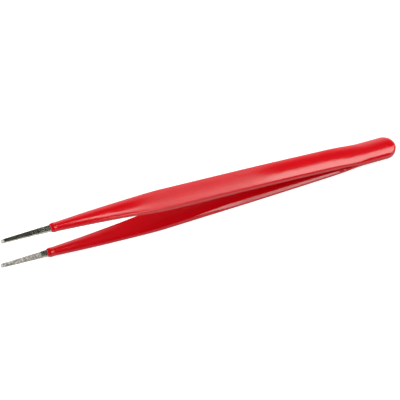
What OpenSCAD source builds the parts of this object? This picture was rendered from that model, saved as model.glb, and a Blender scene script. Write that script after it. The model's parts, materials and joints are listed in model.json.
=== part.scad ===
// Straight tweezers with serrated jaws and a dipped red skin.
// Two stamped steel blades lie flat on each other in the heel, where two spot welds join them.
// Ahead of the heel each blade steps outwards, bows away from the other one and runs on to a
// narrow jaw, whose inner face is serrated. A soft plastic skin covers all but the jaws.
// The blades flex just ahead of the heel. That bend is drawn as a narrow cut through blade and
// skin, square to the blade, so that each arm can swing about the middle of its cut.
// The tweezers lie on the straight stretch of the lower arm, with the heel towards +X.

/* [Overall] */
// Length from the ends of the jaws to the rounded end of the heel
overall_length = 150; // [140:0.5:165]

/* [Blades] */
// Thickness of each blade's sheet
blade_thickness = 1.1; // [0.9:0.05:1.3]
// Width of the blades in the heel and along the arms
blade_width = 7.9; // [7:0.1:9]
// Width of the jaw at its rounded end
tip_width = 1.4; // [1.1:0.05:1.8]
// Width of the jaw at its root
jaw_root_width = 2.35; // [2:0.05:2.8]
// Length of the slender jaw
jaw_length = 18; // [16:0.5:19]
// Length over which the blade widens behind the jaw
taper_length = 39.5; // [34:0.5:46]
// Thickness of the jaw at its very end, where the outer face is ground back
tip_thickness = 0.85; // [0.7:0.05:1]
// Length of the ground stretch of the outer face
relief_length = 14; // [8:1:16]

/* [Bow] */
// Length of the heel, where the blades lie on each other
heel_length = 15.3; // [14:0.1:20]
// Length of the step ahead of the heel
step_length = 8; // [6.5:0.5:10]
// Angle of the step
step_angle = 9; // [7:0.5:11]
// Length of the stretch ahead of the step
root_length = 28.7; // [24:0.1:32]
// Angle of that stretch
root_angle = 4.15; // [3.8:0.05:4.5]
// Angle of the long straight stretch that the tweezers lie on
straight_angle = 3.2; // [2.8:0.05:3.5]
// Length of the front stretch, where the arms run side by side
front_length = 34.6; // [28:0.1:40]
// Angle of the front stretch
front_angle = 0.3; // [0:0.1:0.8]

/* [Serrations] */
// Distance from one tooth to the next
tooth_pitch = 0.5; // [0.4:0.05:0.8]
// Depth of the grooves between the teeth
tooth_depth = 0.2; // [0.12:0.01:0.26]
// Width of the flat top of each tooth
tooth_land = 0.1; // [0.06:0.01:0.16]
// Length of the serrated stretch
serrated_length = 15; // [10:0.5:15]
// Plain steel between the end of the jaw and the first groove
tip_margin = 0.4; // [0.3:0.1:1]

/* [Skin] */
// Thickness of the skin on the faces
skin_thickness = 0.4; // [0.3:0.05:0.55]
// Distance from the end of the upper jaw to the front of its skin
dip_line_upper = 18.2; // [17.4:0.1:20]
// Distance from the end of the lower jaw to the front of its skin
dip_line_lower = 17.3; // [16.9:0.1:20]
// Width of the flat strip along the middle of the skin's faces
face_flat = 4; // [3:0.1:4.4]
// How far the faces fall from that strip to their edges
skin_crown = 0.12; // [0.05:0.01:0.2]
// Radius of the arms' edges
arm_edge_radius = 0.6; // [0.4:0.05:0.7]
// Radius of the heel's edges
heel_edge_radius = 0.95; // [0.8:0.05:1.1]
// How far the bead behind the skin's front stands proud
bead_rise = 0.1; // [0:0.02:0.16]
// Length of the web that closes the crotch between the arms
web_length = 1.6; // [1:0.1:2.4]

/* [Welds] */
// Diameter of the spot welds' nuggets
weld_diameter = 3; // [2:0.1:4]
// Depth of a nugget in each blade
weld_depth = 0.35; // [0.2:0.05:0.45]
// Distance from the heel's end to the first weld
weld_setback = 4.6; // [4.2:0.1:5]
// Distance between the two welds
weld_pitch = 5; // [4.6:0.1:6]

/* [Flexure] */
// Width of the cut that stands for the bend
flex_gap = 0.15; // [0.12:0.01:0.3]

/* [Hidden] */

$fn = 64;
steel_colour = [0.66, 0.66, 0.62];
weld_colour = [0.5, 0.5, 0.5];
skin_colour = [0.82, 0.1, 0.12];
// Overlap that keeps a cutting body clear of the face that it cuts
cut_margin = 1;

// Half lengths of the bends between the blade's stretches
step_bend = 2.5;
arm_bend = 5;
front_bend = 10;
// Half lengths of the bends in the blade's outline
jaw_bend = 2;
shoulder_bend = 4;
// Facets along each bend, and along a quarter of a round end
bend_steps = 6;
arc_steps = 12;

// Where the stretches end, measured from the heel's end
step_end = heel_length + step_length;
root_end = step_end + root_length;
straight_end = overall_length - front_length;

half_sheet = blade_thickness / 2;
heel_half_height = blade_thickness + skin_thickness;
arm_half_height = half_sheet + skin_thickness;
skin_half_width = blade_width / 2 + skin_thickness;
jaw_taper = (jaw_root_width - tip_width) / jaw_length;
arm_taper = (blade_width - jaw_root_width) / taper_length;

// Shape of the skin's front: its wall at the lip, the length of the rounded lip, and the bead
lip_wall = 0.12;
lip_length = 0.5;
bead_setback = 1.3;
bead_spread = 0.7;
// Largest shares of the half width that the flat strip and a round edge take where the skin is narrow
flat_share = 0.52;
edge_share = 0.28;
// Share of the fall that is reached halfway from the strip to the round edge, and facets round the edge
crown_part = 0.35;
edge_steps = 4;
// Shortest flat that is left between two round edges
side_flat = 0.06;
lip_steps = 6;

// Share of the web that lies ahead of the crotch
web_lead = 0.25;

// Places of the flexure, of the crotch, and of the front and back of the web in it
flex_u = step_end;
crotch_u = heel_length + skin_thickness / tan(step_angle);
web_front_u = crotch_u + web_lead * web_length;
web_back_u = web_front_u - web_length;

// Height of the middle plane where the tweezers lie on the lower arm
lie_height = (centre(overall_length / 2) + arm_half_height) * cos(straight_angle);

// Distance along a line that turns by one unit of slope at x = 0, rounded over -h to h
function bend(x, h) = x <= -h ? 0 : x >= h ? x : pow(x + h, 2) / (4 * h);

// Height of the upper blade's middle over the plane between the blades, at u from the heel's end
function centre(u) = half_sheet
    + tan(step_angle) * bend(u - heel_length, step_bend)
    - (tan(step_angle) - tan(root_angle)) * bend(u - step_end, step_bend)
    - (tan(root_angle) - tan(straight_angle)) * bend(u - root_end, arm_bend)
    - (tan(straight_angle) - tan(front_angle)) * bend(u - straight_end, front_bend);

// Width of the blade at s from the end of the jaw
function outline_width(s) = tip_width + jaw_taper * s
    + (arm_taper - jaw_taper) * bend(s - jaw_length, jaw_bend)
    - arm_taper * bend(s - jaw_length - taper_length, shoulder_bend);

// Places along one bend, from its start to its end
function bend_places(middle, h) = [for (i = [0:bend_steps]) middle - h + 2 * h * i / bend_steps];

// Places along the blade where its side profile has points
profile_places = concat([0], bend_places(heel_length, step_bend), bend_places(step_end, step_bend),
    bend_places(root_end, arm_bend), bend_places(straight_end, front_bend), [overall_length]);

// Places from the jaw's end where the blade's sides have points, between its two round ends
side_places = concat(bend_places(jaw_length, jaw_bend),
    bend_places(jaw_length + taper_length, shoulder_bend));

// The numbers of a list from the lowest to the highest, each once
function sorted(list) = len(list) < 2 ? list :
    let (first = list[0])
    concat(sorted([for (x = list) if (x < first) x]), first, sorted([for (x = list) if (x > first) x]));

// Places along the tweezers where an arm's face or side bends; the skin is straight between them
skin_places = sorted(concat(profile_places, [for (s = side_places) overall_length - s]));

// Wall of the skin at d behind its front
function skin_wall(d) =
    let (lip = min(d / lip_length, 1))
    lip_wall + (skin_thickness - lip_wall) * sqrt(1 - pow(1 - lip, 2))
    + bead_rise * exp(-pow((d - bead_setback) / bead_spread, 2));

// Right half of a section, from the edge of its flat top to the edge of its flat bottom:
// a falling crown, a round edge and the same again below
function half_section(a, b, radius) =
    let (drop = skin_crown * a / skin_half_width,
         r = min(radius, b - drop - side_flat / 2, edge_share * a),
         flat = min(face_flat / 2, flat_share * a),
         upper = concat([[flat, b], [(flat + a - r) / 2, b - crown_part * drop]],
             [for (i = [0:edge_steps]) let (t = 90 * (1 - i / edge_steps))
                 [a - r + r * cos(t), b - drop - r + r * sin(t)]]))
    concat(upper, [for (i = [len(upper) - 1:-1:0]) [upper[i][0], -upper[i][1]]]);

// Whole closed section at u from the heel's end, as points in space
function section(u, a, b, radius, z) =
    let (half = half_section(a, b, radius), last = len(half) - 1)
    concat([for (p = half) [-u, p[0], z + p[1]]],
        [for (i = [last:-1:0]) [-u, -half[i][0], z + half[i][1]]]);

// Section at the heel's round end, whose two halves are folded back by an angle; at 90 they meet
function folded_section(a, b, radius, fold) =
    [for (p = section(0, a, b, radius, 0)) [abs(p[1]) * sin(fold) - a, p[1] * cos(fold), p[2]]];

// Solid through a list of sections that all have the same number of points;
// a first section that is folded flat needs no end face
module loft(sections, first_is_flat = false) {
    n = len(sections[0]);
    last = len(sections) - 1;
    walls = [for (k = [0:last - 1], i = [0:n - 1]) let (j = (i + 1) % n)
        each [[k * n + i, k * n + j, (k + 1) * n + i], [k * n + j, (k + 1) * n + j, (k + 1) * n + i]]];
    first_end = first_is_flat ? [] : [[for (i = [n - 1:-1:0]) i]];
    last_end = [[for (i = [0:n - 1]) last * n + i]];
    polyhedron([for (s = sections) each s], concat(walls, first_end, last_end), convexity = 4);
}

// Stretch of space between two places along the tweezers, taller and wider than they are
module stretch(from_u, to_u) {
    side = overall_length;
    translate([-to_u, -side / 2, -side / 2]) cube([to_u - from_u, side, side]);
}

// Half an arc round x, from the angle that it starts at down to the middle line
function end_arc(x, radius, from, to) = [for (i = [0:arc_steps])
    let (t = from + (to - from) * i / arc_steps) [x + radius * cos(t), radius * sin(t)]];

// Outline of a blade seen from above, with its rounded jaw and heel
module blade_outline() {
    jaw_end = end_arc(tip_width / 2 - overall_length, tip_width / 2, 180, 90);
    sides = [for (s = side_places) [s - overall_length, outline_width(s) / 2]];
    heel_end = end_arc(-blade_width / 2, blade_width / 2, 90, 0);
    right = concat(jaw_end, sides, heel_end);
    left = [for (i = [len(right) - 2:-1:1]) [right[i][0], -right[i][1]]];
    polygon(concat(right, left));
}

// Side profile of a blade, with the outer face of the jaw ground back towards its end
module blade_profile() {
    outer = [for (u = profile_places) [-u, centre(u) + half_sheet]];
    inner = [for (i = [len(profile_places) - 1:-1:0])
        [-profile_places[i], centre(profile_places[i]) - half_sheet]];
    end = centre(overall_length) + half_sheet;
    start = overall_length - relief_length;
    difference() {
        polygon(concat(outer, inner));
        polygon([[-start, centre(start) + half_sheet],
            [-overall_length, end - (blade_thickness - tip_thickness)],
            [-overall_length - cut_margin, end], [-start, end + cut_margin]]);
    }
}

// Whole upper blade from heel to jaw, with neither cut, welds nor teeth
module blank_blade() {
    intersection() {
        rotate([90, 0, 0]) linear_extrude(height = 2 * blade_width, center = true) blade_profile();
        linear_extrude(height = overall_length, center = true) blade_outline();
    }
}

// Grooves of one jaw; the shift sets the teeth of one jaw against the grooves of the other
module jaw_grooves(shift) {
    count = floor((serrated_length - shift) / tooth_pitch);
    mouth = tooth_pitch - tooth_land;
    flare = (tooth_depth + cut_margin) / tooth_depth;
    for (i = [0:count - 1]) {
        s = tip_margin + shift + (i + 0.5) * tooth_pitch;
        translate([s - overall_length, 0, centre(overall_length - s) - half_sheet + tooth_depth])
            rotate([90, 0, 0]) linear_extrude(height = blade_width, center = true)
                polygon([[0, 0], [-mouth / 2 * flare, -tooth_depth * flare],
                    [mouth / 2 * flare, -tooth_depth * flare]]);
    }
}

// Both nuggets, each a round slug half in one blade and half in the other
module nuggets() {
    for (setback = [weld_setback, weld_setback + weld_pitch])
        translate([-setback, 0, 0])
            cylinder(d = weld_diameter, h = 2 * weld_depth, center = true);
}

// Part of the upper blade that stays in the heel, with the weld's seats
module heel_blade() {
    difference() {
        intersection() {
            blank_blade();
            stretch(-cut_margin, flex_u - flex_gap / 2);
        }
        nuggets();
    }
}

// Part of the upper blade that swings, with its teeth
module arm_blade(shift) {
    difference() {
        intersection() {
            blank_blade();
            stretch(flex_u + flex_gap / 2, overall_length + cut_margin);
        }
        jaw_grooves(shift);
    }
}

// Section of an arm's skin at u, where the skin's front is at front_u
function arm_section(u, front_u, radius) =
    let (wall = skin_wall(front_u - u))
    section(u, outline_width(overall_length - u) / 2 + wall, half_sheet + wall, radius, centre(u));

// Skin of the upper arm, from the flexure to the dip line
module arm_skin(dip_line) {
    front_u = overall_length - dip_line;
    back_u = flex_u + flex_gap / 2;
    bead_u = front_u - bead_setback - 2 * bead_spread;
    long_places = concat(back_u, [for (u = skin_places) if (u > back_u && u < bead_u) u]);
    bead_places = [for (i = [0:lip_steps - 1])
        bead_u + (front_u - lip_length - bead_u) * i / lip_steps];
    lip_places = [for (i = [0:lip_steps]) front_u - lip_length * pow(1 - i / lip_steps, 2)];
    difference() {
        loft([for (u = concat(long_places, bead_places, lip_places))
            arm_section(u, front_u, arm_edge_radius)]);
        blank_blade();
    }
}

// Radius of the edges between the heel and the arms
function root_edge_radius(u) =
    let (share = min(max((u - heel_length + step_bend) / (web_front_u - heel_length + step_bend), 0), 1))
    heel_edge_radius + (arm_edge_radius - heel_edge_radius) * share;

// Half of the heel's skin over one blade, from the web in the crotch to the flexure
module prong() {
    to_u = flex_u - flex_gap / 2;
    loft([for (i = [0:bend_steps]) let (u = web_front_u + (to_u - web_front_u) * i / bend_steps)
        section(u, skin_half_width, arm_half_height, arm_edge_radius, centre(u))]);
}

// Outside of the heel: a rounded end, a flat length that flares with the step, and two prongs
module heel_outside() {
    steps = 2 * bend_steps;
    flare_u = heel_length - step_bend;
    round_end = [for (i = [0:arc_steps])
        folded_section(skin_half_width, heel_half_height, heel_edge_radius, 90 * (1 - i / arc_steps))];
    flare = [for (i = [0:steps]) let (u = flare_u + (web_front_u - flare_u) * i / steps)
        section(u, skin_half_width, centre(u) + arm_half_height, root_edge_radius(u), 0)];
    loft(concat(round_end, flare), first_is_flat = true);
    prong();
    mirror([0, 0, 1]) prong();
}

// Air between the blades behind the web
module wedge_gap() {
    translate([-web_back_u, -blade_width / 2, -half_sheet])
        cube([web_back_u - blade_width / 2, blade_width, blade_thickness]);
}

// Turns the tweezers from the plane between the blades to the way they lie
module lying() {
    translate([0, 0, lie_height]) rotate([0, straight_angle, 0]) translate([overall_length / 2, 0, 0])
        children();
}

module heel_blade_upper() {
    color(steel_colour) lying() heel_blade();
}

module heel_blade_lower() {
    color(steel_colour) lying() mirror([0, 0, 1]) heel_blade();
}

module weld_nuggets() {
    color(weld_colour) lying() nuggets();
}

module heel_skin() {
    color(skin_colour) lying() difference() {
        heel_outside();
        blank_blade();
        mirror([0, 0, 1]) blank_blade();
        wedge_gap();
    }
}

module upper_blade() {
    color(steel_colour) lying() arm_blade(0);
}

module upper_skin() {
    color(skin_colour) lying() arm_skin(dip_line_upper);
}

module lower_blade() {
    color(steel_colour) lying() mirror([0, 0, 1]) arm_blade(tooth_pitch / 2);
}

module lower_skin() {
    color(skin_colour) lying() mirror([0, 0, 1]) arm_skin(dip_line_lower);
}

heel_blade_upper();
heel_blade_lower();
weld_nuggets();
heel_skin();
upper_blade();
upper_skin();
lower_blade();
lower_skin();
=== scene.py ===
"""Straight tweezers with serrated steel jaws and a dipped red skin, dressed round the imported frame.

Each blade is one sheet of steel from the heel to the jaw, and each arm's skin runs on into the heel,
where the two halves meet in a shallow groove. Both follow one rule, which Geometry Nodes work out.
"""

import json
import math

import bpy
from bpy.props import FloatProperty, FloatVectorProperty, PointerProperty
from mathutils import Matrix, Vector
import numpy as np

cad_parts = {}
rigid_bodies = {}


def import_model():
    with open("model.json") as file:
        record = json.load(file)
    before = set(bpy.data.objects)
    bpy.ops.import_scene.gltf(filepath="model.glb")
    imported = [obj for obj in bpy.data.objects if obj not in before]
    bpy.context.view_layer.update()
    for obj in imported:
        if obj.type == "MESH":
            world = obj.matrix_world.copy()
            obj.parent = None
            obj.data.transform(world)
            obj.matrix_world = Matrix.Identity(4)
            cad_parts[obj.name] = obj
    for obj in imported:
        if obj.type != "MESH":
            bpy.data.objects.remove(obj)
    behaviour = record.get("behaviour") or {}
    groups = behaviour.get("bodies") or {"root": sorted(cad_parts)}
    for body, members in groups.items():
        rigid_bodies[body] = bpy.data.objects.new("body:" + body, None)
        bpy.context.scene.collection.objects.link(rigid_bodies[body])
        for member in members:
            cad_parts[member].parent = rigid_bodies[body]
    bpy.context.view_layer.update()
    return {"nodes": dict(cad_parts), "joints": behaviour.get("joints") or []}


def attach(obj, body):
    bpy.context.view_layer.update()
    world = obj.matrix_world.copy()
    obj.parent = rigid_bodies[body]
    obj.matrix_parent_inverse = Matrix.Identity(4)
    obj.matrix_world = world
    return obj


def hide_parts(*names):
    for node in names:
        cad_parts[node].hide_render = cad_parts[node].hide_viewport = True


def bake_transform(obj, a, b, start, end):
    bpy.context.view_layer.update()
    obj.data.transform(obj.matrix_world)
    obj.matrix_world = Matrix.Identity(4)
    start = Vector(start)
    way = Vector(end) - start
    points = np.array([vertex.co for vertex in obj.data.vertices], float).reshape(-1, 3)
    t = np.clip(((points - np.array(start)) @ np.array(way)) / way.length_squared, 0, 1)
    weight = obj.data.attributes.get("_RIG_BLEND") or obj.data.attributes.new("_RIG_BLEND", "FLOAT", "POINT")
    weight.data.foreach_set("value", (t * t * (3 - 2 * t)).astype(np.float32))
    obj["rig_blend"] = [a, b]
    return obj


bl_info = {
    "name": "Dipped tweezers",
    "version": (1, 0, 0),
    "blender": (4, 5, 0),
    "location": "3D View > Sidebar > Tweezers",
    "description": "Builds a pair of tweezers with serrated jaws and a dipped skin on its frame",
    "category": "Object",
}

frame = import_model()

MM = 0.001
UPPER, LOWER = 1, -1
HALF_NAMES = {UPPER: "upper", LOWER: "lower"}


# Sizes

def length(name, description, millimetres, low=0.0, high=200.0):
    """A length that a user may change, given in millimetres."""
    return FloatProperty(name=name, description=description, default=millimetres * MM,
                         min=low * MM, max=high * MM, precision=5, unit="LENGTH")


def angle(name, description, degrees, low=0.0, high=30.0):
    """An angle that a user may change, given in degrees."""
    return FloatProperty(name=name, description=description, default=math.radians(degrees),
                         min=math.radians(low), max=math.radians(high), precision=3,
                         subtype="ANGLE")


def colour(name, description, rgb):
    """A surface colour in linear values."""
    return FloatVectorProperty(name=name, description=description, default=rgb, size=3,
                               min=0.0, max=1.0, subtype="COLOR")


def share(name, description, default):
    """A plain number from 0 to 1."""
    return FloatProperty(name=name, description=description, default=default, min=0.0, max=1.0)


class TweezersBladeSizes(bpy.types.PropertyGroup):
    """The stamped blades: their outline, their bow and their ground jaws."""

    overall: length("Overall length", "From the ends of the jaws to the heel's end", 150)
    sheet: length("Sheet", "Thickness of each blade", 1.1)
    width: length("Blade width", "Width in the heel and along the arms", 7.9)
    tip: length("Tip width", "Width of the jaw at its rounded end", 1.4)
    jaw_root: length("Jaw root width", "Width of the jaw at its root", 2.35)
    jaw: length("Jaw length", "Length of the slender jaw", 18)
    taper: length("Taper length", "Length over which the blade widens", 39.5)
    tip_sheet: length("Tip thickness", "Thickness at the very end of the jaw", 0.85)
    relief: length("Ground length", "Length of the ground stretch of the outer face", 14)
    heel: length("Heel length", "Length where the blades lie on each other", 15.3)
    step: length("Step length", "Length of the step ahead of the heel", 8)
    root: length("Root length", "Length of the stretch ahead of the step", 28.7)
    front: length("Front length", "Length of the front stretch", 34.6)
    step_angle: angle("Step angle", "Slope of the step", 9)
    root_angle: angle("Root angle", "Slope ahead of the step", 4.15)
    straight_angle: angle("Straight angle", "Slope of the stretch that the part lies on", 3.2)
    front_angle: angle("Front angle", "Slope of the front stretch", 0.3)
    step_bend: length("Step bend", "Half length of the bends of the step", 2.5)
    arm_bend: length("Arm bend", "Half length of the bend of the arm", 8)
    front_bend: length("Front bend", "Half length of the bend ahead of the straight", 10)
    jaw_bend: length("Jaw corner", "Half length of the corner behind the jaw", 2)
    shoulder_bend: length("Shoulder corner", "Half length of the corner at full width", 4)
    edge: length("Edge break", "Radius of the blades' broken edges at the jaws", 0.09)
    covered_edge: length("Covered edge", "Radius of the blades' edges under the skin", 0.45)


class TweezersToothSizes(bpy.types.PropertyGroup):
    """The serrations of the jaws."""

    pitch: length("Pitch", "Distance from one tooth to the next", 0.5)
    depth: length("Depth", "Depth of the grooves", 0.2)
    land: length("Land", "Width of the flat top of a tooth", 0.1)
    stretch: length("Serrated length", "Length of the serrated stretch", 15)
    margin: length("Tip margin", "Plain steel ahead of the first groove", 0.4)


class TweezersSkinSizes(bpy.types.PropertyGroup):
    """The dipped skin: its wall, its front lips and its edges."""

    wall: length("Wall", "Thickness of the skin on the faces", 0.395)
    front_upper: length("Upper dip line", "From the end of the upper jaw to its skin", 18.2)
    front_lower: length("Lower dip line", "From the end of the lower jaw to its skin", 17.3)
    crown: length("Crown", "How far the faces fall to their edges", 0.14)
    lean: length("Heel lean", "How far the heel's faces fall from the middle to the far edge", 0.055)
    arm_edge: length("Arm edge", "Radius of the arms' edges", 0.6)
    heel_edge: length("Heel edge", "Radius of the heel's outer edges", 0.95)
    groove_edge: length("Groove edge", "Radius at the heel's end that leaves its groove", 0.3)
    soft_wide: length("Soft edge width", "Width of the soft inner edges of the arms' rear half", 1.9)
    soft_tall: length("Soft edge height", "Height of the soft inner edges", 0.72)
    soft_start: length("Soft edge start", "From the heel's front to the soft edges", 3.2)
    soft_rise: length("Soft edge rise", "Length over which the soft edges grow", 2.5)
    soft_end: length("Soft edge end", "From the heel's end to where they start to shrink", 60)
    soft_fall: length("Soft edge fall", "Length over which the soft edges shrink", 20)
    pad: length("Inner pad", "How much thicker the skin is inside the arms' rear half", 0.65)
    pad_start: length("Pad start", "From the heel's front to where the pad starts", 2.2)
    pad_rise: length("Pad rise", "Length over which the pad grows to its thickness", 7)
    pad_end: length("Pad end", "From the heel's end to where the pad starts to thin", 80)
    pad_fall: length("Pad fall", "Length over which the pad thins out", 26)
    grip_start: length("Grip start", "From the heel's end to where the skin starts to be worn", 43)
    grip_rise: length("Grip rise", "Length over which the wear grows", 15)
    grip_end: length("Grip end", "From the heel's end to where the wear starts to fade", 90)
    grip_fall: length("Grip fall", "Length over which the wear fades", 14)
    lip_wall: length("Lip wall", "Thickness of the skin at its very front", 0.12)
    lip: length("Lip length", "Length over which the lip rounds off", 0.5)
    bead: length("Bead", "How far the bead stands proud", 0.1)
    bead_place: length("Bead place", "From the skin's front to its bead", 1.3)
    bead_spread: length("Bead spread", "Half width of the bead", 0.6)


class TweezersFinishes(bpy.types.PropertyGroup):
    """Colours and gloss of the skin and the steel."""

    skin: colour("Skin", "Colour of the dipped skin", (0.57, 0.001, 0.006))
    skin_rough: share("Skin roughness", "Roughness of the dipped skin", 0.09)
    worn_rough: share("Worn roughness", "Roughness of the outer faces where fingers hold them", 0.24)
    steel: colour("Steel", "Colour of the steel", (0.58, 0.54, 0.46))
    steel_rough: share("Steel roughness", "Roughness of the polished steel", 0.12)
    cut: colour("Cut steel", "Colour of the cut teeth", (0.70, 0.65, 0.62))
    cut_rough: share("Cut roughness", "Roughness of the cut teeth", 0.55)


class TweezersStageSettings(bpy.types.PropertyGroup):
    """Camera, floor and lamps."""

    elevation: angle("Elevation", "Angle of the camera above the horizon", 56, high=90)
    azimuth: angle("Azimuth", "Turn of the camera about the upright", -20.53, low=-180, high=180)
    distance: length("Distance", "From the camera to the middle of the tweezers", 1200, high=5000)
    lens: FloatProperty(name="Lens", description="Focal length on a 36 mm sensor", default=303.4,
                        min=20.0, max=1000.0, unit="CAMERA")
    floor: length("Floor", "Width of the floor", 6000, high=20000)


# Arithmetic in node trees

class Field:
    """A value in a node tree. Arithmetic with it adds Math nodes to the tree."""

    def __init__(self, tree, socket):
        self.tree = tree
        self.socket = socket

    def math(self, operation, *values, clamp=False):
        """The result of one Math node."""
        node = self.tree.nodes.new("ShaderNodeMath")
        node.operation = operation
        node.use_clamp = clamp
        for slot, value in zip(node.inputs, values):
            if isinstance(value, Field):
                self.tree.links.new(value.socket, slot)
            else:
                slot.default_value = value
        return Field(self.tree, node.outputs[0])

    def __add__(self, other):
        return self.math("ADD", self, other)

    def __sub__(self, other):
        return self.math("SUBTRACT", self, other)

    def __rsub__(self, other):
        return self.math("SUBTRACT", other, self)

    def __mul__(self, other):
        return self.math("MULTIPLY", self, other)

    def __truediv__(self, other):
        return self.math("DIVIDE", self, other)

    def __neg__(self):
        return self.math("MULTIPLY", self, -1.0)

    __radd__ = __add__
    __rmul__ = __mul__

    def least(self, other):
        """The smaller of the two."""
        return self.math("MINIMUM", self, other)

    def most(self, other):
        """The larger of the two."""
        return self.math("MAXIMUM", self, other)

    def unit(self):
        """The value held between 0 and 1."""
        return self.math("ADD", self, 0.0, clamp=True)

    def root(self):
        return self.math("SQRT", self)

    def tan(self):
        return self.math("TANGENT", self)

    def sin(self):
        return self.math("SINE", self)

    def cos(self):
        return self.math("COSINE", self)

    def size(self):
        """The value without its sign."""
        return self.math("ABSOLUTE", self)

    def square(self):
        return self * self

    def bell(self):
        """1 at 0, falling to 0 on both sides."""
        return self.math("EXPONENT", -self.square())


def bend(x, half):
    """A line that turns from level to a slope of 1 at x = 0, rounded over half on each side."""
    held = (x + half).most(0.0).least(half * 2.0)
    return held.square() / (half * 4.0) + (x - half).most(0.0)


def smooth_step(x):
    """0 below 0, 1 above 1 and smooth between."""
    t = x.unit()
    return t * t * (3.0 - t * 2.0)


def along(u, start, rise, end, fall):
    """0 before start, growing to 1 over rise, and from end on shrinking to 0 over fall."""
    return smooth_step((u - start) / rise) * (1.0 - smooth_step((u - end) / fall))


class Tree:
    """A Geometry Nodes tree with named inputs, made from a property group's sizes."""

    def __init__(self, name):
        self.tree = bpy.data.node_groups.new(name, "GeometryNodeTree")
        self.tree.is_modifier = True
        self.values = {}
        self.tree.interface.new_socket("Geometry", in_out="INPUT", socket_type="NodeSocketGeometry")
        self.tree.interface.new_socket("Geometry", in_out="OUTPUT", socket_type="NodeSocketGeometry")
        self.start = self.tree.nodes.new("NodeGroupInput")
        self.end = self.tree.nodes.new("NodeGroupOutput")

    def take(self, group, names):
        """Adds an input for each named size of a property group, and returns them as fields."""
        fields = {}
        for name in names:
            prop = group.bl_rna.properties[name]
            fields[name] = self.number(prop.name, getattr(group, name))
        return fields

    def number(self, label, value):
        """Adds one named input and returns it as a field."""
        item = self.tree.interface.new_socket(label, in_out="INPUT", socket_type="NodeSocketFloat")
        self.values[item.identifier] = value
        return Field(self.tree, next(s for s in self.start.outputs if s.identifier == item.identifier))

    def attribute(self, name):
        """A named attribute of the mesh as a field."""
        node = self.tree.nodes.new("GeometryNodeInputNamedAttribute")
        node.data_type = "FLOAT"
        node.inputs["Name"].default_value = name
        return Field(self.tree, node.outputs["Attribute"])

    def add(self, kind, **settings):
        """A new node with its settings."""
        node = self.tree.nodes.new(kind)
        for key, value in settings.items():
            setattr(node, key, value)
        return node

    def link(self, source, target):
        """Links a field or a socket to a node's input."""
        self.tree.links.new(source.socket if isinstance(source, Field) else source, target)

    def vector(self, x, y, z):
        """A vector socket from three fields or numbers."""
        node = self.add("ShaderNodeCombineXYZ")
        for slot, value in zip(node.inputs, (x, y, z)):
            if isinstance(value, Field):
                self.link(value, slot)
            else:
                slot.default_value = value
        return node.outputs[0]

    def lay_down(self, geometry, material):
        """Turns the piece from the plane between the blades to the way the tweezers lie,
        and ends the tree in Realize Instances and Set Material."""
        turn = bpy.context.scene.tweezers_blades.straight_angle
        move = self.add("GeometryNodeTransform")
        self.link(geometry, move.inputs["Geometry"])
        move.inputs["Rotation"].default_value = (0.0, turn, 0.0)
        move.inputs["Translation"].default_value = (0.0, 0.0, lie_height())
        realize = self.add("GeometryNodeRealizeInstances")
        self.link(move.outputs["Geometry"], realize.inputs["Geometry"])
        paint = self.add("GeometryNodeSetMaterial")
        self.link(realize.outputs["Geometry"], paint.inputs["Geometry"])
        paint.inputs["Material"].default_value = material
        self.link(paint.outputs["Geometry"], self.end.inputs["Geometry"])

    def bake(self, source, name):
        """Runs the tree on a mesh and returns the result as a plain mesh object."""
        modifier = source.modifiers.new("Rule", "NODES")
        modifier.node_group = self.tree
        for identifier, value in self.values.items():
            modifier[identifier] = value
        bpy.context.view_layer.update()
        graph = bpy.context.evaluated_depsgraph_get()
        mesh = bpy.data.meshes.new_from_object(source.evaluated_get(graph), depsgraph=graph,
                                               preserve_all_data_layers=True)
        source.modifiers.remove(modifier)
        old = source.data
        bpy.data.objects.remove(source)
        bpy.data.meshes.remove(old)
        mesh.name = name
        piece = bpy.data.objects.new(name, mesh)
        bpy.context.scene.collection.objects.link(piece)
        for key in [a.name for a in mesh.attributes if a.name in RING_WORDS]:
            mesh.attributes.remove(mesh.attributes[key])
        return piece


# The blades' rule

BOW_WORDS = ("overall", "sheet", "heel", "step", "root", "front", "step_angle", "root_angle",
             "straight_angle", "front_angle", "step_bend", "arm_bend", "front_bend")
OUTLINE_WORDS = ("tip", "jaw_root", "jaw", "taper", "width", "jaw_bend", "shoulder_bend")
COAT_WORDS = [word for word in TweezersSkinSizes.__annotations__ if not word.startswith("front_")]


def bow(size, u):
    """Height of a blade's middle over the plane between the blades, at u from the heel's end."""
    step_end = size["heel"] + size["step"]
    root_end = step_end + size["root"]
    straight_end = size["overall"] - size["front"]
    step, root = size["step_angle"].tan(), size["root_angle"].tan()
    straight, front = size["straight_angle"].tan(), size["front_angle"].tan()
    return (size["sheet"] / 2.0 + step * bend(u - size["heel"], size["step_bend"])
            - (step - root) * bend(u - step_end, size["step_bend"])
            - (root - straight) * bend(u - root_end, size["arm_bend"])
            - (straight - front) * bend(u - straight_end, size["front_bend"]))


def outline(size, s):
    """Width of a blade at s from the end of its jaw."""
    jaw_taper = (size["jaw_root"] - size["tip"]) / size["jaw"]
    arm_taper = (size["width"] - size["jaw_root"]) / size["taper"]
    return (size["tip"] + jaw_taper * s
            + (arm_taper - jaw_taper) * bend(s - size["jaw"], size["jaw_bend"])
            - arm_taper * bend(s - size["jaw"] - size["taper"], size["shoulder_bend"]))


def plain_bend(x, half):
    """The rounded corner of bend(), for plain numbers."""
    held = min(max(x + half, 0.0), 2 * half)
    return held ** 2 / (4 * half) + max(x - half, 0.0)


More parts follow.
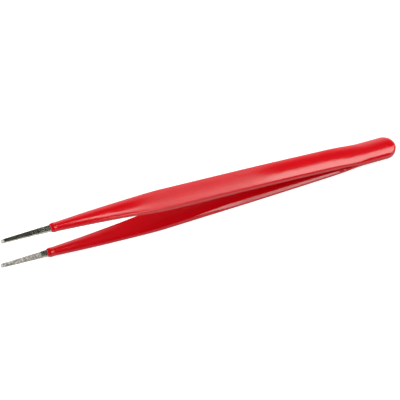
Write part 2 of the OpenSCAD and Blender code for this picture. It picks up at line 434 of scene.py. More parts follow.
def plain_bow(u):
    """The height of bow(), for a plain number."""
    blade = bpy.context.scene.tweezers_blades
    step_end = blade.heel + blade.step
    slopes = [math.tan(a) for a in (0.0, blade.step_angle, blade.root_angle, blade.straight_angle,
                                    blade.front_angle)]
    places = (blade.heel, step_end, step_end + blade.root, blade.overall - blade.front)
    halves = (blade.step_bend, blade.step_bend, blade.arm_bend, blade.front_bend)
    return blade.sheet / 2 + sum((slopes[i + 1] - slopes[i]) * plain_bend(u - places[i], halves[i])
                                 for i in range(len(places)))


def lie_height():
    """Height of the plane between the blades where the tweezers lie on the lower arm."""
    blade = bpy.context.scene.tweezers_blades
    half = blade.sheet / 2 + bpy.context.scene.tweezers_skin.wall
    return (plain_bow(blade.overall / 2) + half) * math.cos(blade.straight_angle)


def in_middle(u):
    """The point in the middle of the plane between the blades, at u from the heel's end."""
    blade = bpy.context.scene.tweezers_blades
    x = blade.overall / 2 - u
    turn = blade.straight_angle
    return tuple(Vector((x * math.cos(turn), 0.0, lie_height() - x * math.sin(turn))))


# Rings of points

# What each point carries: its ring's place from the heel's end, fold at a round end, layer (1 for
# skin, 0 for steel) and sinking to the grooves' floor, and then its own share of the ring
RING_WORDS = ("place", "fold", "layer", "sunk", "across", "level", "turn_y", "turn_z", "soft_y",
              "soft_z", "fall")
# The mark of the skin's worn grip; on the steel it holds the tip's end, whose lighter colour is partly a
# painted highlight
WEAR_AND_TIP_WORD = "grip"

# Steps over a ring's face, round its edge and along a round end
FACE_STEPS = 16
EDGE_STEPS = 9
END_STEPS = 14

# The form of a soft edge: 1 is round and 2 a flat bevel
SOFT_POWER = 1.74

# Distances between rings
BLADE_STEP = 0.8 * MM
FLOOR_STEP = 0.75 * MM
SKIN_STEP = 0.6 * MM
BEAD_STEP = 0.12 * MM
INNER_STEP = 1.5 * MM

# Rings round a lip, and how many bead spreads behind a bead the close rings start
LIP_STEPS = 8
BEAD_REACH = 2.5

# How far a count of steps or teeth may be out by rounding
NEARLY = 1e-6


def ring_points(crown_slope):
    """One ring round a blade, from the right edge over the outer face, the left edge and the inner
    face: how far across each point lies, its level, its turn round a sharp or a soft edge and the
    face's fall."""
    start = math.pi / 2 - crown_slope
    right = []
    for i in range(EDGE_STEPS):
        y, z = math.cos(start * i / EDGE_STEPS), math.sin(start * i / EDGE_STEPS)
        right.append((1.0, 1.0, y, z - math.sin(start), y ** SOFT_POWER, z ** SOFT_POWER - 1.0, 1.0))
    face = []
    for i in range(FACE_STEPS + 1):
        q = math.cos(math.pi * i / FACE_STEPS)
        face.append((q, 1.0, q * math.cos(start), 0.0, 0.0, 0.0, q * q))
    left = [(-a, level, -y, z, -soft_y, soft_z, fall)
            for a, level, y, z, soft_y, soft_z, fall in reversed(right)]
    above = right + face + left
    below = [(a, -level, y, -z, soft_y, -soft_z, fall)
             for a, level, y, z, soft_y, soft_z, fall in reversed(above)]
    return above + below


def ring_mesh(name, rows, crown_slope):
    """A tube of rings. Each row gives (place, fold, layer, sunk); its points carry those and their
    own share of the ring as attributes, and the tree puts them where the rule says."""
    ring = ring_points(crown_slope)
    n = len(ring)
    mesh = bpy.data.meshes.new(name)
    verts = [(k, i, 0.0) for k in range(len(rows)) for i in range(n)]
    faces = []
    for k in range(len(rows) - 1):
        a, b = k * n, (k + 1) * n
        faces += [(a + i, b + i, b + (i + 1) % n, a + (i + 1) % n) for i in range(n)]
    mesh.from_pydata(verts, [], faces)
    columns = zip(*((*row, *point) for row in rows for point in ring))
    for word, values in zip(RING_WORDS, columns):
        mesh.attributes.new(word, "FLOAT", "POINT").data.foreach_set("value", values)
    piece = bpy.data.objects.new(name, mesh)
    bpy.context.scene.collection.objects.link(piece)
    return piece


def spread(start, end, step):
    """Even places from start to end, both included, about a step apart."""
    count = max(1, math.ceil(abs(end - start) / step - NEARLY))
    return [start + (end - start) * i / count for i in range(count + 1)]


# The sweep

# Where the heel's edges start to turn into the arms' and for how long, as shares of the heel's and
# the step's length
ARM_EDGES_FROM = 0.7
ARM_EDGES_OVER = 1.1

# From the jaw's root to where the blades' edges get rounder, and the length of the change
COVER_START = 6 * MM
COVER_RISE = 6 * MM

# The end of each tip that takes the cut steel's lighter colour, partly a painted highlight, and the length
# over which it fades
TIP_BRIGHT = 0.9 * MM
TIP_FADE = 0.15 * MM

# The largest width of an edge as a share of the half width, and the least flat side below it
WIDEST_EDGE = 0.42
LEAST_WALL = 0.02 * MM

# How far the steel keeps off the plane between the blades, and how near two points are one
MIDDLE_GAP = 0.01 * MM
SAME_POINT = 0.002 * MM

# Half the length over which a piece bends at a flexure
FLEX_REACH = 2.2 * MM


def ring_places(tree, front):
    """The place of each point over the plane between the blades, and how worn it is; on the steel the
    same mark holds the tip's end, whose lighter cut-steel colour is partly a painted highlight. A ring
    lies at u from the heel's end and s from the jaw's, a and b are its half width and half thickness,
    and front is where the skin ends."""
    scene = bpy.context.scene
    blade, skin, tooth = scene.tweezers_blades, scene.tweezers_skin, scene.tweezers_teeth
    size = tree.take(blade, BOW_WORDS + OUTLINE_WORDS + ("tip_sheet", "relief", "edge", "covered_edge"))
    coat = tree.take(skin, COAT_WORDS)
    groove = tree.number("Groove depth", tooth.depth)
    front = tree.number("Skin front", front)
    u = tree.attribute("place")
    s = size["overall"] - u
    layer, level = tree.attribute("layer"), tree.attribute("level")
    steel = 1.0 - layer
    outer = (level + 1.0) / 2.0
    inner = 1.0 - outer

    behind_front = (front - u).most(0.0)
    lip = 1.0 - (behind_front / coat["lip"]).unit()
    bead = ((behind_front - coat["bead_place"]) / coat["bead_spread"]).bell()
    wall = coat["lip_wall"] + (coat["wall"] - coat["lip_wall"]) * (1.0 - lip.square()).root()
    wall = (wall + coat["bead"] * bead) * layer
    a = outline(size, s) / 2.0 + wall
    ground = (size["sheet"] - size["tip_sheet"]) * (1.0 - s / size["relief"]).unit() * outer
    cut = groove * tree.attribute("sunk") * inner
    pad = coat["pad"] * layer * inner * along(u, size["heel"] + coat["pad_start"], coat["pad_rise"],
                                              coat["pad_end"], coat["pad_fall"])
    b = size["sheet"] / 2.0 + wall - ground - cut + pad

    towards_arm = smooth_step((u - size["heel"] * ARM_EDGES_FROM) / (size["step"] * ARM_EDGES_OVER))
    heel_edge = coat["heel_edge"] * outer + coat["groove_edge"] * inner
    radius = heel_edge + (coat["arm_edge"] - heel_edge) * towards_arm
    drop = coat["crown"] * layer * a / (size["width"] / 2.0 + coat["wall"])
    soft = inner * along(u, size["heel"] + coat["soft_start"], coat["soft_rise"], coat["soft_end"],
                         coat["soft_fall"])
    tall = radius + (coat["soft_tall"] - radius) * soft
    wide = radius + (coat["soft_wide"] - radius) * soft
    covered = smooth_step((s - size["jaw"] - COVER_START) / COVER_RISE)
    edge = size["edge"] + (size["covered_edge"] - size["edge"]) * covered
    tall = tall.least(b - drop - LEAST_WALL) * layer + edge * steel
    wide = wide.least(a * WIDEST_EDGE) * layer + edge * steel
    turn_y, turn_z = tree.attribute("turn_y"), tree.attribute("turn_z")
    turn_y = turn_y + (tree.attribute("soft_y") - turn_y) * soft * layer
    turn_z = turn_z + (tree.attribute("soft_z") - turn_z) * soft * layer

    across, fold = tree.attribute("across"), tree.attribute("fold")
    y = (a - wide) * across + wide * turn_y
    lean = coat["lean"] * layer * outer * (1.0 - towards_arm) * across * fold.cos()
    z = level * (b - drop * tree.attribute("fall") - lean) + tall * turn_z
    z = (bow(size, u) + z).most(steel * MIDDLE_GAP)
    x = size["overall"] / 2.0 - u + y.size() * fold.sin()
    wear_and_lit_tip = along(u, coat["grip_start"], coat["grip_rise"], coat["grip_end"], coat["grip_fall"])
    # The tip's end takes the cut steel's finish; its lighter colour is partly a painted highlight
    tip_end = smooth_step((TIP_BRIGHT - s) / TIP_FADE)
    wear_and_lit_tip = wear_and_lit_tip * outer * layer + tip_end * steel
    return x, y * fold.cos(), z, wear_and_lit_tip


def sweep_tree(name, material, side, front):
    """The tree that puts the rings of one blade or of one skin in place."""
    tree = Tree(name)
    x, y, z, wear_and_lit_tip = ring_places(tree, front)
    place = tree.add("GeometryNodeSetPosition")
    tree.link(tree.start.outputs["Geometry"], place.inputs["Geometry"])
    tree.link(tree.vector(x, y, z * float(side)), place.inputs["Position"])
    merge = tree.add("GeometryNodeMergeByDistance")
    note = tree.add("GeometryNodeStoreNamedAttribute", data_type="FLOAT", domain="POINT")
    note.inputs["Name"].default_value = WEAR_AND_TIP_WORD
    tree.link(wear_and_lit_tip, note.inputs["Value"])
    tree.link(place.outputs["Geometry"], note.inputs["Geometry"])
    tree.link(note.outputs["Geometry"], merge.inputs["Geometry"])
    merge.inputs["Distance"].default_value = SAME_POINT
    shape = merge.outputs["Geometry"]
    if side == LOWER:
        flip = tree.add("GeometryNodeFlipFaces")
        tree.link(shape, flip.inputs["Mesh"])
        shape = flip.outputs["Mesh"]
    smooth = tree.add("GeometryNodeSetShadeSmooth")
    tree.link(shape, smooth.inputs["Geometry"])
    tree.lay_down(smooth.outputs["Geometry"], material)
    return tree


def fold_rows(place, towards, layer):
    """Rows of a round end at a place: folded flat at the end, open where the straight part starts."""
    return [(place, towards * math.pi / 2 * (1 - i / END_STEPS), layer, 0.0)
            for i in range(END_STEPS)]


def groove_row(side):
    """How far one jaw's grooves are shifted, and how many it has."""
    tooth = bpy.context.scene.tweezers_teeth
    shift = 0.0 if side == UPPER else tooth.pitch / 2
    return shift, math.floor((tooth.stretch - shift) / tooth.pitch + NEARLY)


class TWEEZERS_OT_blades(bpy.types.Operator):
    """Build both steel blades, each one sheet from its heel to its jaw"""

    bl_idname = "tweezers.blades"
    bl_label = "Steel blades"

    def execute(self, context):
        blade, tooth = context.scene.tweezers_blades, context.scene.tweezers_teeth
        end = blade.width / 2 + context.scene.tweezers_skin.wall
        half_mouth = (tooth.pitch - tooth.land) / 2
        # where the round end starts, on sides that spread by the jaw's slope
        tip = blade.tip / 2 / (1 - (blade.jaw_root - blade.tip) / blade.jaw / 2)
        for side, half in HALF_NAMES.items():
            shift, count = groove_row(side)
            first = tooth.margin + shift
            first_top = first + tooth.land / 2
            last_top = first + count * tooth.pitch - tooth.land / 2
            rows = fold_rows(end, 1.0, 0.0)
            rows += [(u, 0.0, 0.0, 0.0) for u in spread(end, blade.overall - last_top, BLADE_STEP)]
            floor = spread(last_top - half_mouth, first_top + half_mouth, FLOOR_STEP)
            rows += [(blade.overall - s, 0.0, 0.0, 1.0) for s in floor]
            rows += [(blade.overall - first_top, 0.0, 0.0, 0.0)]
            rows += reversed(fold_rows(blade.overall - tip, -1.0, 0.0))
            rings = ring_mesh("blade_rings", rows, 0.0)
            tree = sweep_tree(f"{half} blade sweep", steel_finish(), side, blade.overall)
            piece = tree.bake(rings, f"{half}_blade_steel")
            sharpen(piece)
            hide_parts(f"{half}_blade", f"heel_blade_{half}")
            flex(piece, side)
        return {"FINISHED"}


class TWEEZERS_OT_teeth(bpy.types.Operator):
    """Set the teeth on the floor of each jaw's serrated stretch"""

    bl_idname = "tweezers.teeth"
    bl_label = "Jaw teeth"

    def execute(self, context):
        for side, half in HALF_NAMES.items():
            tree = tooth_tree(side)
            carrier = bpy.data.objects.new("tooth_carrier", bpy.data.meshes.new("tooth_carrier"))
            context.scene.collection.objects.link(carrier)
            piece = tree.bake(carrier, f"{half}_jaw_teeth")
            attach(piece, f"{half}_arm")
        return {"FINISHED"}


# How much narrower a tooth's crest is than its foot, as a share
CREST_LOSS = 0.05


def tooth_tree(side):
    """The tree that sets one jaw's teeth in a row, each as wide as the jaw is there."""
    scene = bpy.context.scene
    blade, tooth = scene.tweezers_blades, scene.tweezers_teeth
    shift, count = groove_row(side)
    tree = Tree(f"{HALF_NAMES[side]} tooth row")
    size = tree.take(blade, BOW_WORDS + OUTLINE_WORDS + ("edge",))
    row = tree.take(tooth, ("pitch", "depth", "land", "margin"))
    shift_field = tree.number("Shift", shift)
    line = tree.add("GeometryNodeMeshLine")
    line.inputs["Count"].default_value = count - 1
    index = Field(tree.tree, tree.add("GeometryNodeInputIndex").outputs[0])
    s = row["margin"] + shift_field + (index + 1.0) * row["pitch"]
    u = size["overall"] - s
    floor = bow(size, u) - size["sheet"] / 2.0 + row["depth"]
    spots = tree.add("GeometryNodeSetPosition")
    tree.link(line.outputs["Mesh"], spots.inputs["Geometry"])
    tree.link(tree.vector(s - size["overall"] / 2.0, 0.0, (floor - row["depth"] / 2.0) * float(side)),
              spots.inputs["Position"])
    cube = tree.add("GeometryNodeMeshCube")
    cube.inputs["Size"].default_value = (1.0, 1.0, 1.0)
    at = tree.add("GeometryNodeInputPosition")
    parts = tree.add("ShaderNodeSeparateXYZ")
    tree.link(at.outputs[0], parts.inputs[0])
    px, py, pz = (Field(tree.tree, parts.outputs[i]) for i in range(3))
    crest = (0.5 - pz * float(side)).unit()
    narrowed = 1.0 + (row["land"] / row["pitch"] - 1.0) * crest
    shape = tree.add("GeometryNodeSetPosition")
    tree.link(cube.outputs["Mesh"], shape.inputs["Geometry"])
    py = py * (1.0 - crest * CREST_LOSS)
    tree.link(tree.vector(px * narrowed, py, pz), shape.inputs["Position"])
    copies = tree.add("GeometryNodeInstanceOnPoints")
    tree.link(spots.outputs["Geometry"], copies.inputs["Points"])
    tree.link(shape.outputs["Geometry"], copies.inputs["Instance"])
    wide = outline(size, s) - size["edge"]
    tree.link(tree.vector(row["pitch"], wide, row["depth"]), copies.inputs["Scale"])
    tree.lay_down(copies.outputs["Instances"], cut_finish())
    return tree


class TWEEZERS_OT_skin(bpy.types.Operator):
    """Dip both halves in their skin, from the heel's end to the dip lines"""

    bl_idname = "tweezers.skin"
    bl_label = "Dipped skin"

    def execute(self, context):
        blade, skin = context.scene.tweezers_blades, context.scene.tweezers_skin
        start = blade.width / 2 + skin.wall
        slope = math.atan(2 * skin.crown / start)
        for side, front in ((UPPER, skin.front_upper), (LOWER, skin.front_lower)):
            half = HALF_NAMES[side]
            front_u = blade.overall - front
            bead = front_u - skin.bead_place - BEAD_REACH * skin.bead_spread
            places = spread(start, bead, SKIN_STEP)
            places += spread(bead, front_u - skin.lip, BEAD_STEP)[1:]
            places += [front_u - skin.lip * (1 - math.sin(math.pi / 2 * i / LIP_STEPS))
                       for i in range(1, LIP_STEPS + 1)]
            rows = fold_rows(start, 1.0, 1.0) + [(u, 0.0, 1.0, 0.0) for u in places]
            rows += [(u, 0.0, 0.0, 0.0) for u in reversed(spread(start, front_u, INNER_STEP))]
            rows += reversed(fold_rows(start, 1.0, 0.0))
            rings = ring_mesh("skin_rings", rows, slope)
            tree = sweep_tree(f"{half} skin sweep", skin_finish(), side, front_u)
            piece = tree.bake(rings, f"{half}_skin_coat")
            sharpen(piece)
            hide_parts(f"{half}_skin", "heel_skin")
            flex(piece, side)
        return {"FINISHED"}


class TWEEZERS_OT_welds(bpy.types.Operator):
    """Give the spot welds in the heel their dull metal"""

    bl_idname = "tweezers.welds"
    bl_label = "Spot welds"

    def execute(self, context):
        node = frame["nodes"]["weld_nuggets"]
        node.data.materials.clear()
        node.data.materials.append(weld_finish())
        return {"FINISHED"}


# The least angle of a real corner
CORNER = math.radians(38)


def sharpen(piece):
    """Keeps smooth shading off a piece's real corners."""
    piece.data.set_sharp_from_angle(angle=CORNER)


def flex(piece, side):
    """Lets a piece bend about its arm's flexure, from the heel's slope to the arm's."""
    joint = next(j for j in frame["joints"] if j["name"] == f"{HALF_NAMES[side]}_flex")
    blade = bpy.context.scene.tweezers_blades
    hinge = blade.heel + blade.step
    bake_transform(piece, joint["parent"], joint["child"], start=in_middle(hinge - FLEX_REACH),
             end=in_middle(hinge + FLEX_REACH))


# Finishes

class Finish:
    """A node material in the making, with short calls for its parts."""

    def __init__(self, name):
        self.material = bpy.data.materials.new(name)
        self.material.use_nodes = True
        self.tree = self.material.node_tree
        self.shader = self.tree.nodes["Principled BSDF"]
        self.place = self.tree.nodes.new("ShaderNodeTexCoord").outputs["Object"]

    def stretched(self, scale):
        """Object coordinates scaled by a vector."""
        node = self.tree.nodes.new("ShaderNodeMapping")
        node.inputs["Scale"].default_value = scale
        self.tree.links.new(self.place, node.inputs["Vector"])
        return node.outputs["Vector"]

    def noise(self, vector, detail, roughness=0.5):
        """A noise from about 0.3 to 0.7 at each place of a vector."""
        node = self.tree.nodes.new("ShaderNodeTexNoise")
        node.inputs["Scale"].default_value = 1.0
        node.inputs["Detail"].default_value = detail
        node.inputs["Roughness"].default_value = roughness
        self.tree.links.new(vector, node.inputs["Vector"])
        return node.outputs["Fac"]

    def spread(self, value, low, high):
        """A noise mapped onto low to high."""
        return self.mapped(value, 0.3, 0.7, low, high)

    def mapped(self, value, start, end, low=0.0, high=1.0):
        """A value mapped from start to end onto low to high."""
        node = self.tree.nodes.new("ShaderNodeMapRange")
        node.inputs["From Min"].default_value = start
        node.inputs["From Max"].default_value = end
        node.inputs["To Min"].default_value = low
        node.inputs["To Max"].default_value = high
        self.tree.links.new(value, node.inputs["Value"])
        return node.outputs["Result"]

    def mix(self, factor, first, second):
        """A mix of two colours, each a socket or plain values."""
        node = self.tree.nodes.new("ShaderNodeMix")
        node.data_type = "RGBA"
        self.tree.links.new(factor, node.inputs["Factor"])
        for slot, value in ((node.inputs[6], first), (node.inputs[7], second)):
            if isinstance(value, tuple):
                slot.default_value = (*value, 1.0)
            else:
                self.tree.links.new(value, slot)
        return node.outputs[2]

    def mottled(self, noise, rgb, low, high):
        """A colour that a noise makes darker and lighter."""
        return self.mix(self.spread(noise, 0.0, 1.0), shade(rgb, low), shade(rgb, high))

    def edge_on(self, start, end):
        """0 where the surface faces the eye, rising to 1 where it is seen edge on."""
        facing = self.tree.nodes.new("ShaderNodeLayerWeight")
        facing.inputs["Blend"].default_value = 0.5
        return self.mapped(facing.outputs["Facing"], start, end)

    def own(self, name):
        """A value stored on the piece's own points."""
        node = self.tree.nodes.new("ShaderNodeAttribute")
        node.attribute_name = name
        return node.outputs["Fac"]

    def between(self, factor, first, second):
        """A plain mix of two values."""
        node = self.tree.nodes.new("ShaderNodeMix")
        for slot, value in zip(node.inputs, (factor, None, first, second)):
            if value is not None:
                self.tree.links.new(value, slot)
        return node.outputs[0]

    def bump(self, height, strength, distance, onto=None):
        """A normal roughened by a height, on top of another normal where one is given."""
        node = self.tree.nodes.new("ShaderNodeBump")
        node.inputs["Strength"].default_value = strength
        node.inputs["Distance"].default_value = distance
        self.tree.links.new(height, node.inputs["Height"])
        if onto is not None:
            self.tree.links.new(onto, node.inputs["Normal"])
        return node.outputs["Normal"]

    def set(self, **values):
        """Sets the shader's inputs and returns the material."""
        for key, value in values.items():
            slot = self.shader.inputs[key.replace("_", " ")]
            if isinstance(value, bpy.types.NodeSocket):
                self.tree.links.new(value, slot)
            elif isinstance(value, tuple):
                slot.default_value = (*value, 1.0)
            else:
                slot.default_value = value
        return self.material


def made_once(function):
    """Keeps the material that a finish makes, so that its pieces share it."""
    made = []

    def finish():
        if not made:
            made.append(function())
        return made[0]

    return finish


def shade(rgb, factor):
    """A colour made lighter or darker."""
    return tuple(min(1.0, max(0.0, c * factor)) for c in rgb)


@made_once
def skin_finish():
    """Glossy soft plastic, a little uneven from the dip, and darkened by painted shade where it is seen edge
    on.
    """
    looks = bpy.context.scene.tweezers_looks
    finish = Finish("dipped_red_skin")
    red = tuple(looks.skin)
    clouds = finish.noise(finish.stretched((90.0, 160.0, 160.0)), 2.0)
    tone = finish.mottled(clouds, red, 0.96, 1.03)
    # Painted shade: the red falls to 40 % of itself where the skin is seen edge on, standing in for the
    # dimmer light at its silhouettes.
    tone = finish.mix(finish.edge_on(0.5, 0.9), tone, shade(red, 0.4))
    flow = finish.noise(finish.stretched((140.0, 420.0, 420.0)), 2.0)
    peel = finish.noise(finish.stretched((1600.0, 1900.0, 1900.0)), 2.0)
    normal = finish.bump(flow, 0.12, 0.00012)
    normal = finish.bump(peel, 0.05, 0.00003, onto=normal)
    uneven = finish.noise(finish.stretched((300.0, 500.0, 500.0)), 4.0)
    fresh = finish.spread(uneven, looks.skin_rough * 0.85, looks.skin_rough * 1.2)
    held = finish.spread(uneven, looks.worn_rough * 0.9, looks.worn_rough * 1.1)
    rough = finish.between(finish.own(WEAR_AND_TIP_WORD), fresh, held)
    return finish.set(Base_Color=tone, Roughness=rough, Normal=normal, IOR=1.52)


@made_once
def steel_finish():
    """Polished stainless steel with fine marks along it, and at the tips' ends the lighter, rougher cut
    steel, which partly paints their highlight.
    """
    looks = bpy.context.scene.tweezers_looks
    finish = Finish("polished_steel")
    grey = tuple(looks.steel)
    grind = finish.noise(finish.stretched((9000.0, 500.0, 900.0)), 4.0, 0.6)
    stain = finish.noise(finish.stretched((750.0, 300.0, 500.0)), 2.0)
    tone = finish.mottled(stain, grey, 0.6, 1.15)
    # The tips' ends take the cut steel's lighter colour and roughness: partly their own cut finish, partly a
    # painted highlight
    ground = finish.own(WEAR_AND_TIP_WORD)
    tone = finish.mix(ground, tone, tuple(looks.cut))
    normal = finish.bump(grind, 0.12, 0.00002)
    polished = finish.spread(grind, looks.steel_rough * 0.8, looks.steel_rough * 1.3)
    cut = finish.spread(grind, looks.cut_rough * 0.9, looks.cut_rough * 1.1)
    rough = finish.between(ground, polished, cut)
    return finish.set(Base_Color=tone, Metallic=1.0, Roughness=rough, Normal=normal)


@made_once
def cut_finish():
    """Steel as the cutter left it, with each tooth a little different."""
    looks = bpy.context.scene.tweezers_looks
    finish = Finish("cut_steel")
    grains = finish.noise(finish.stretched((1500.0, 1100.0, 500.0)), 2.0)
    return finish.set(Base_Color=finish.mottled(grains, tuple(looks.cut), 0.45, 1.25), Metallic=1.0,
                      Roughness=looks.cut_rough, Normal=finish.bump(grains, 0.2, 0.00002))


@made_once
def weld_finish():
    """Dull fused metal."""
    looks = bpy.context.scene.tweezers_looks
    finish = Finish("fused_metal")
    grains = finish.noise(finish.stretched((2500.0, 2500.0, 2500.0)), 3.0)
    grey = shade(tuple(looks.steel), 0.75)
    return finish.set(Base_Color=finish.mottled(grains, grey, 0.8, 1.0), Metallic=1.0,
                      Roughness=0.55, Normal=finish.bump(grains, 0.3, 0.00003))


# Stage

# The overhead box: its height, corners and brightness, and the tint of its cloth and the near strip's
BOX_HEIGHT = 0.6
BOX_CORNERS = ((0.13, 0.352), (0.13, 0.32), (0.245, 0.303), (0.272, 0.28), (0.3, 0.22),
               (0.42, -0.12), (0.86, 0.05), (0.82, 0.472), (0.245, 0.341))
BOX_LEVEL = 5.8
CLOTH_TINT = (0.92, 1.0, 0.95)

# The strip over the near side: its size, brightness, place along x, angle from the floor behind
# the tweezers and distance
NEAR_SIZE = (0.08, 0.5)
NEAR_LEVEL = 5.2
NEAR_X = 0.18
NEAR_LEAN = math.radians(112)
NEAR_DISTANCE = 0.6

# The strip beyond the jaws
LEFT_SIZE = (0.16, 0.5)
LEFT_LEVEL = 3.5
LEFT_PLACE = (-0.43, 0.37, 0.35)
LEFT_TINT = (0.95, 1.0, 0.95)

# The floor's own grey, and how much it glows to the camera and in reflections
FLOOR_GREY = 0.62
FLOOR_SEEN = 0.75
FLOOR_MIRRORED = 0.2

# The world's fill light, and its brightness in reflections, from the horizon up to the ceiling
FILL_LEVEL = 0.76
HORIZON_LEVEL = 0.7
CEILING_LEVEL = 0.05
HORIZON_TOP = 0.1
CEILING_RISE = 0.5

# The pale wall behind, in reflections: it starts from the line y = start + slope * x at the
# overhead box's height and keeps to directions on the heel's side, none flatter than the least rise
WALL_LEVEL = 2.8
WALL_START = 0.365
WALL_SLOPE = 0.36
WALL_FADE = 0.14
WALL_SIDE = 0.15
WALL_SIDE_FADE = 0.08
LEAST_RISE = 0.02

# The camera's sensor in millimetres, the picture's width and shift in pixels, and its clipping
SENSOR = 36.0
PICTURE_WIDTH = 400
SHIFT_X, SHIFT_Y = -0.78, -1.39
NEAREST, FARTHEST = 0.05, 20.0


def soft_box(name, size, level, tint):
    """A soft box of a size, a brightness and a tint, at the origin."""
    data = bpy.data.lights.new(name, "AREA")
    data.shape = "RECTANGLE"
    data.size, data.size_y = size
    data.energy = level * math.pi * size[0] * size[1]
    data.color = tint
    box = bpy.data.objects.new(name, data)
    bpy.context.scene.collection.objects.link(box)
    return box


def flat_piece(name, corners, finish):
    """A piece with one flat face, and the node tree of its own material."""
    mesh = bpy.data.meshes.new(name)
    mesh.from_pydata(corners, [], [range(len(corners))])
    piece = bpy.data.objects.new(name, mesh)
    bpy.context.scene.collection.objects.link(piece)
    material = bpy.data.materials.new(finish)
    material.use_nodes = True
    mesh.materials.append(material)
    return piece, material.node_tree


def overhead_box():
    """A level box overhead, with a long point over the jaws."""
    box, tree = flat_piece("overhead_box", [(x, y, BOX_HEIGHT) for x, y in BOX_CORNERS], "lamp_cloth")
    glow = tree.nodes.new("ShaderNodeEmission")
    glow.inputs["Color"].default_value = (*CLOTH_TINT, 1.0)
    glow.inputs["Strength"].default_value = BOX_LEVEL
    tree.links.new(glow.outputs[0], tree.nodes["Material Output"].inputs["Surface"])


def near_strip():
    """A tall narrow box that leans over the tweezers from the near side."""
    box = soft_box("near_strip", NEAR_SIZE, NEAR_LEVEL, CLOTH_TINT)
    box.location = (NEAR_X, NEAR_DISTANCE * math.cos(NEAR_LEAN), NEAR_DISTANCE * math.sin(NEAR_LEAN))
    box.rotation_euler.x = NEAR_LEAN - math.pi / 2


def left_strip():
    """A box beyond the jaws, which lights their ends and the fronts of the skin."""
    box = soft_box("left_strip", LEFT_SIZE, LEFT_LEVEL, LEFT_TINT)
    box.location = LEFT_PLACE
    box.rotation_euler = Vector(LEFT_PLACE).to_track_quat("Z", "X").to_euler()


def white_floor(width):
    """A pale floor that shows white and keeps a faint shadow of the tweezers."""
    half = width / 2
    corners = [(-half, -half, 0), (half, -half, 0), (half, half, 0), (-half, half, 0)]
    floor, tree = flat_piece("floor", corners, "white_floor")
    base = tree.nodes["Principled BSDF"]
    base.inputs["Base Color"].default_value = (FLOOR_GREY, FLOOR_GREY, FLOOR_GREY, 1.0)
    base.inputs["Roughness"].default_value = 1.0
    base.inputs["Specular IOR Level"].default_value = 0.0
    rays = tree.nodes.new("ShaderNodeLightPath")
    seen = Field(tree, rays.outputs["Is Camera Ray"])
    mirrored = Field(tree, rays.outputs["Is Glossy Ray"])
    level = seen * FLOOR_SEEN + mirrored * FLOOR_MIRRORED
    glow = tree.nodes.new("ShaderNodeEmission")
    tree.links.new(level.socket, glow.inputs["Strength"])
    both = tree.nodes.new("ShaderNodeAddShader")
    tree.links.new(base.outputs[0], both.inputs[0])
    tree.links.new(glow.outputs[0], both.inputs[1])
    tree.links.new(both.outputs[0], tree.nodes["Material Output"].inputs["Surface"])


def studio_air():
    """The world: a plain fill light, a studio in reflections and white to the camera."""
    world = bpy.data.worlds.new("studio")
    bpy.context.scene.world = world
    world.use_nodes = True
    tree = world.node_tree
    coordinates = tree.nodes.new("ShaderNodeTexCoord")
    parts = tree.nodes.new("ShaderNodeSeparateXYZ")
    tree.links.new(coordinates.outputs["Generated"], parts.inputs[0])
    x, y, z = (Field(tree, parts.outputs[i]) for i in range(3))
    dimming = smooth_step((z - HORIZON_TOP) / CEILING_RISE)
    around = HORIZON_LEVEL - dimming * (HORIZON_LEVEL - CEILING_LEVEL)
    past_start = (y - x * WALL_SLOPE) / z.most(LEAST_RISE) * BOX_HEIGHT - WALL_START
    back_wall = smooth_step(past_start / WALL_FADE) * smooth_step((x - WALL_SIDE) / WALL_SIDE_FADE)
    rays = tree.nodes.new("ShaderNodeLightPath")
    seen = Field(tree, rays.outputs["Is Camera Ray"])
    mirrored = Field(tree, rays.outputs["Is Glossy Ray"])
    level = FILL_LEVEL + mirrored * (around + back_wall * WALL_LEVEL - FILL_LEVEL)
    back = tree.nodes["Background"]
    back.inputs["Color"].default_value = (1.0, 1.0, 1.0, 1.0)
    tree.links.new(seen.most(level).socket, back.inputs["Strength"])


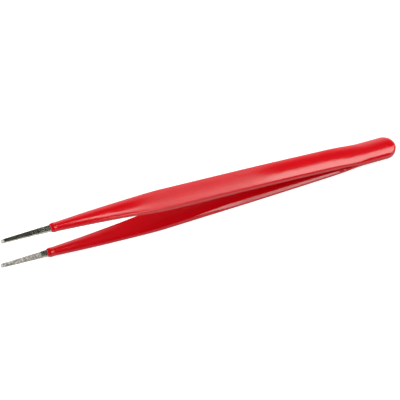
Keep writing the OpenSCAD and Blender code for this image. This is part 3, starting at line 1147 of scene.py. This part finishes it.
class TWEEZERS_OT_stage(bpy.types.Operator):
    """Set up the floor, the lamps and the camera"""

    bl_idname = "tweezers.stage"
    bl_label = "Stage"

    def execute(self, context):
        stage = context.scene.tweezers_stage
        white_floor(stage.floor)
        studio_air()
        overhead_box()
        near_strip()
        left_strip()
        target = Vector((0.0, 0.0, lie_height()))
        e, a = stage.elevation, stage.azimuth
        back = Vector((math.sin(a) * math.cos(e), -math.cos(a) * math.cos(e), math.sin(e)))
        data = bpy.data.cameras.new("camera")
        data.lens = stage.lens
        data.sensor_width = SENSOR
        data.shift_x, data.shift_y = SHIFT_X / PICTURE_WIDTH, SHIFT_Y / PICTURE_WIDTH
        data.clip_start, data.clip_end = NEAREST, FARTHEST
        camera = bpy.data.objects.new("camera", data)
        camera.location = target + back * stage.distance
        camera.rotation_euler = (-back).to_track_quat("-Z", "Y").to_euler()
        context.scene.collection.objects.link(camera)
        context.scene.camera = camera
        context.scene.view_settings.view_transform = "Standard"
        return {"FINISHED"}


class TWEEZERS_PT_panel(bpy.types.Panel):
    """Lists the steps that build the tweezers"""

    bl_idname = "TWEEZERS_PT_panel"
    bl_label = "Tweezers"
    bl_space_type = "VIEW_3D"
    bl_region_type = "UI"
    bl_category = "Tweezers"

    def draw(self, context):
        for step in STEPS:
            self.layout.operator(step.bl_idname)
        for holder in GROUPS:
            group = getattr(context.scene, holder)
            box = self.layout.box()
            for prop in group.bl_rna.properties:
                if prop.identifier not in ("rna_type", "name"):
                    box.prop(group, prop.identifier)


STEPS = (TWEEZERS_OT_stage, TWEEZERS_OT_blades, TWEEZERS_OT_teeth, TWEEZERS_OT_skin, TWEEZERS_OT_welds)
GROUPS = {
    "tweezers_blades": TweezersBladeSizes,
    "tweezers_teeth": TweezersToothSizes,
    "tweezers_skin": TweezersSkinSizes,
    "tweezers_looks": TweezersFinishes,
    "tweezers_stage": TweezersStageSettings,
}
CLASSES = (*GROUPS.values(), *STEPS, TWEEZERS_PT_panel)


def register():
    for cls in CLASSES:
        bpy.utils.register_class(cls)
    for holder, cls in GROUPS.items():
        setattr(bpy.types.Scene, holder, PointerProperty(type=cls))


def unregister():
    for holder in GROUPS:
        delattr(bpy.types.Scene, holder)
    for cls in reversed(CLASSES):
        bpy.utils.unregister_class(cls)


def main():
    """Builds the tweezers."""
    register()
    for step in STEPS:
        family, action = step.bl_idname.split(".")
        getattr(getattr(bpy.ops, family), action)()


if __name__ == "__main__":
    main()
